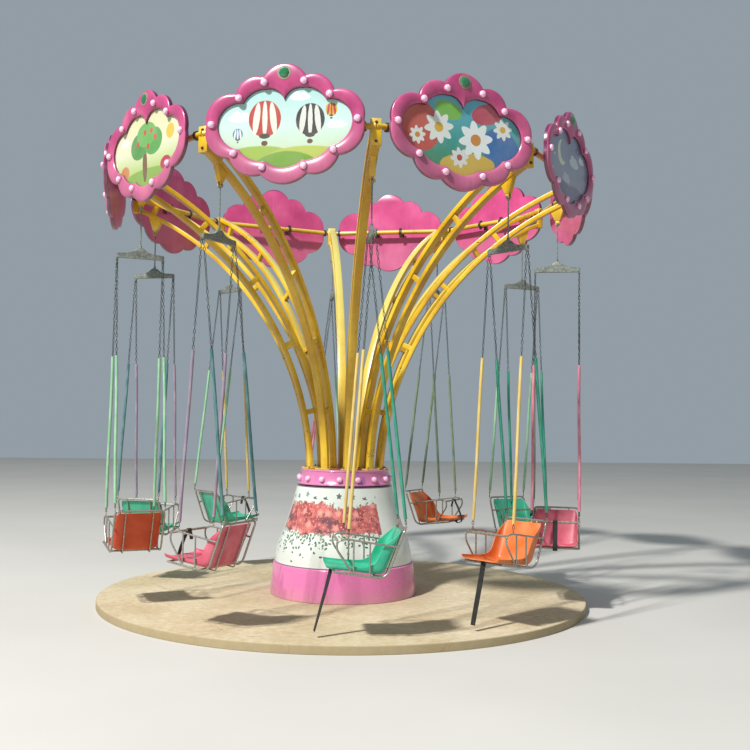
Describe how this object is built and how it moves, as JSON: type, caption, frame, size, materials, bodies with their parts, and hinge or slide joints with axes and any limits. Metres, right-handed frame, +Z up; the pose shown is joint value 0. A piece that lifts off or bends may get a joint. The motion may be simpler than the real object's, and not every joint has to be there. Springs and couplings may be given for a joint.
{
  "type": "small chair swing ride",
  "caption": "Children's chair swing ride: curved ladder arms fan out from a printed trunk and carry a ring of cloud shaped panels and chairs on chains over a round platform.",
  "frame": {"origin": "centre of the round platform's underside", "axes": "+Z up along the axis that the rotor turns about; the first arm and its chair point along -Y"},
  "size_m": [4.48, 4.5784, 4.323],
  "materials": {
    "platform_concrete": "trowelled concrete, dusty",
    "pink_gelcoat": "glossy gelcoat",
    "printed_gelcoat": "glossy white with a flower print",
    "panel_gelcoat": "glossy gelcoat",
    "yellow_paint": "gloss enamel",
    "bearing_steel": "greased, dull",
    "galvanised_steel": "weathered zinc",
    "frame_tube": "silver paint, worn",
    "turquoise_seat": "moulded glass fibre",
    "orange_seat": "moulded glass fibre",
    "pink_seat": "moulded glass fibre",
    "red_orange_seat": "moulded glass fibre"
  },
  "bodies": {
    "base": {"platform": "platform_concrete", "base_ring": "pink_gelcoat", "skirt": "printed_gelcoat", "slew_bearing": "bearing_steel"},
    "rotor": {"collar": "pink_gelcoat", "tip_ring": "yellow_paint", "arm_01": "yellow_paint", "arm_02": "yellow_paint", "arm_03": "yellow_paint", "arm_04": "yellow_paint", "arm_05": "yellow_paint", "arm_06": "yellow_paint", "arm_07": "yellow_paint", "arm_08": "yellow_paint", "arm_09": "yellow_paint", "arm_10": "yellow_paint", "panel_01": "panel_gelcoat", "panel_02": "panel_gelcoat", "panel_03": "panel_gelcoat", "panel_04": "panel_gelcoat", "panel_05": "panel_gelcoat", "panel_06": "panel_gelcoat", "panel_07": "panel_gelcoat", "panel_08": "panel_gelcoat", "panel_09": "panel_gelcoat", "panel_10": "panel_gelcoat"},
    "chair_01": {"hanger_01": "galvanised_steel", "chair_frame_01": "frame_tube", "seat_shell_01": "turquoise_seat"},
    "chair_02": {"hanger_02": "galvanised_steel", "chair_frame_02": "frame_tube", "seat_shell_02": "orange_seat"},
    "chair_03": {"hanger_03": "galvanised_steel", "chair_frame_03": "frame_tube", "seat_shell_03": "pink_seat"},
    "chair_04": {"hanger_04": "galvanised_steel", "chair_frame_04": "frame_tube", "seat_shell_04": "turquoise_seat"},
    "chair_05": {"hanger_05": "galvanised_steel", "chair_frame_05": "frame_tube", "seat_shell_05": "orange_seat"},
    "chair_06": {"hanger_06": "galvanised_steel", "chair_frame_06": "frame_tube", "seat_shell_06": "pink_seat"},
    "chair_07": {"hanger_07": "galvanised_steel", "chair_frame_07": "frame_tube", "seat_shell_07": "turquoise_seat"},
    "chair_08": {"hanger_08": "galvanised_steel", "chair_frame_08": "frame_tube", "seat_shell_08": "turquoise_seat"},
    "chair_09": {"hanger_09": "galvanised_steel", "chair_frame_09": "frame_tube", "seat_shell_09": "red_orange_seat"},
    "chair_10": {"hanger_10": "galvanised_steel", "chair_frame_10": "frame_tube", "seat_shell_10": "pink_seat"}
  },
  "joints": [
    {"name": "rotor_spin", "type": "hinge", "parent": "base", "child": "rotor", "pos_m": [0, 0, 1.0783], "axis": [0, 0, 1], "continuous": true},
    {"name": "chair_01_swing", "type": "hinge", "parent": "rotor", "child": "chair_01", "pos_m": [0, -1.966, 3.5], "axis": [-1, 0, 0], "range_deg": [-10, 35]},
    {"name": "chair_02_swing", "type": "hinge", "parent": "rotor", "child": "chair_02", "pos_m": [1.15559, -1.59053, 3.5], "axis": [-0.809, -0.5878, 0], "range_deg": [-10, 35]},
    {"name": "chair_03_swing", "type": "hinge", "parent": "rotor", "child": "chair_03", "pos_m": [1.86978, -0.60753, 3.5], "axis": [-0.309, -0.9511, 0], "range_deg": [-10, 35]},
    {"name": "chair_04_swing", "type": "hinge", "parent": "rotor", "child": "chair_04", "pos_m": [1.86978, 0.60753, 3.5], "axis": [0.309, -0.9511, 0], "range_deg": [-10, 35]},
    {"name": "chair_05_swing", "type": "hinge", "parent": "rotor", "child": "chair_05", "pos_m": [1.15559, 1.59053, 3.5], "axis": [0.809, -0.5878, 0], "range_deg": [-10, 35]},
    {"name": "chair_06_swing", "type": "hinge", "parent": "rotor", "child": "chair_06", "pos_m": [0, 1.966, 3.5], "axis": [1, 0, 0], "range_deg": [-10, 35]},
    {"name": "chair_07_swing", "type": "hinge", "parent": "rotor", "child": "chair_07", "pos_m": [-1.15559, 1.59053, 3.5], "axis": [0.809, 0.5878, 0], "range_deg": [-10, 35]},
    {"name": "chair_08_swing", "type": "hinge", "parent": "rotor", "child": "chair_08", "pos_m": [-1.86978, 0.60753, 3.5], "axis": [0.309, 0.9511, 0], "range_deg": [-10, 35]},
    {"name": "chair_09_swing", "type": "hinge", "parent": "rotor", "child": "chair_09", "pos_m": [-1.86978, -0.60753, 3.5], "axis": [-0.309, 0.9511, 0], "range_deg": [-10, 35]},
    {"name": "chair_10_swing", "type": "hinge", "parent": "rotor", "child": "chair_10", "pos_m": [-1.15559, -1.59053, 3.5], "axis": [-0.809, 0.5878, 0], "range_deg": [-10, 35]}
  ]
}
